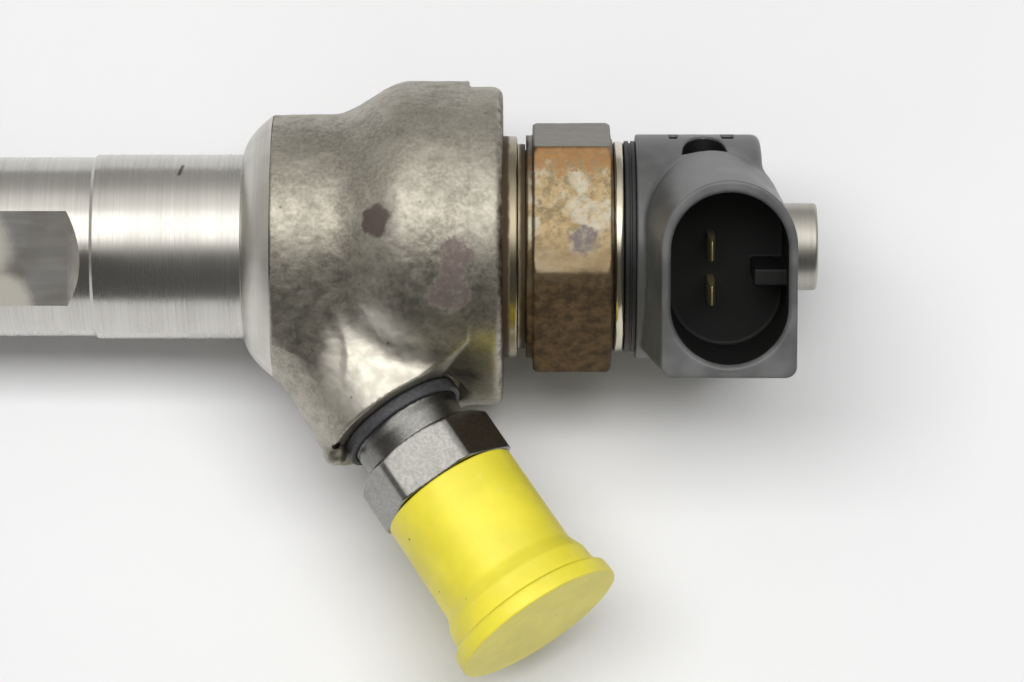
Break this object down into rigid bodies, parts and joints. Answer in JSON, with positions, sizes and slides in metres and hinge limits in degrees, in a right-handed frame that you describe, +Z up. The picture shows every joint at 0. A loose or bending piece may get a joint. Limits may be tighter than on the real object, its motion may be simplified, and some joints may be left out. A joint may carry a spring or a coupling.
{
  "type": "fuel injector",
  "caption": "Solenoid common-rail diesel injector: stepped steel body, screwed side inlet with a plastic cap, plastic head with a blade connector and a return stub.",
  "frame": {"origin": "on the injector's axis, in the outer face of the combustion washer", "axes": "+X along the injector's axis from the nozzle to the return stub, -Y is the side of the high-pressure inlet, +Z up as the injector lies"},
  "size_m": [0.1797, 0.069, 0.0468],
  "materials": {
    "forged_steel": "machined shaft, shot-blasted forging",
    "ground_steel": "ground",
    "dark_steel": "dark phosphate",
    "black_oxide": "blackened",
    "copper": "soft copper, dull",
    "spring_steel": "shot-peened wire",
    "ptfe": "matte",
    "nut_steel": "bronze heat and rust patina",
    "sleeve_steel": "bright turned",
    "soft_iron": "pressed iron powder",
    "coil_wire": "enamelled copper",
    "bobbin_plastic": "moulded",
    "rubber": "matte",
    "black_plastic": "moulded satin",
    "gold_plate": "plated",
    "stub_steel": "turned satin",
    "cap_plastic": "soft moulded"
  },
  "bodies": {
    "injector": {"injector_body": "forged_steel", "nozzle_body": "dark_steel", "nozzle_retaining_nut": "dark_steel", "combustion_washer": "copper", "dowel_pins": "ground_steel", "nozzle_spring": "spring_steel", "opening_shim": "ground_steel", "valve_piece": "ground_steel", "valve_piece_seal_ring": "ptfe", "valve_clamp_screw": "black_oxide", "armature_guide": "ground_steel", "lift_shim": "ground_steel", "overtravel_spring": "spring_steel", "air_gap_shim": "ground_steel", "valve_spring": "spring_steel", "spring_force_shim": "ground_steel", "magnet_core": "soft_iron", "coil_bobbin": "bobbin_plastic", "coil": "coil_wire", "magnet_sleeve": "sleeve_steel", "solenoid_nut": "nut_steel", "solenoid_o_ring": "rubber", "head_seal_ring": "rubber", "connector_housing": "black_plastic", "terminal_pins": "gold_plate", "drain_stub": "stub_steel", "inlet_fitting": "dark_steel", "inlet_seal_ring": "rubber", "edge_filter": "ground_steel"},
    "needle": {"nozzle_needle": "ground_steel", "pressure_pin": "ground_steel"},
    "piston": {"control_piston": "ground_steel"},
    "armature": {"valve_ball": "ground_steel", "ball_holder": "ground_steel", "armature_bolt": "ground_steel", "retaining_washer": "spring_steel"},
    "plate": {"armature_plate": "soft_iron"},
    "cap": {"transport_cap": "cap_plastic"}
  },
  "joints": [
    {"name": "needle_lift", "type": "slide", "parent": "injector", "child": "needle", "axis": [1, 0, 0], "range_m": [0, 0.00025], "stiffness_N_per_m": 30000, "springref_m": -0.001, "deforming": ["nozzle_spring"]},
    {"name": "piston_lift", "type": "slide", "parent": "injector", "child": "piston", "axis": [1, 0, 0], "range_m": [0, 0.00025]},
    {"name": "armature_lift", "type": "slide", "parent": "injector", "child": "armature", "axis": [1, 0, 0], "range_m": [0, 0.00005], "stiffness_N_per_m": 20000, "springref_m": -0.001, "deforming": ["valve_spring"]},
    {"name": "plate_overtravel", "type": "slide", "parent": "armature", "child": "plate", "axis": [-1, 0, 0], "range_m": [0, 0.00005], "stiffness_N_per_m": 2000, "springref_m": -0.001, "deforming": ["overtravel_spring"]},
    {"name": "cap_pull", "type": "slide", "parent": "injector", "child": "cap", "axis": [0.5446, -0.8387, 0], "range_m": [0, 0.028]}
  ],
  "couplings": [
    {"joint": "piston_lift", "follows": "needle_lift", "ratio": 1}
  ]
}
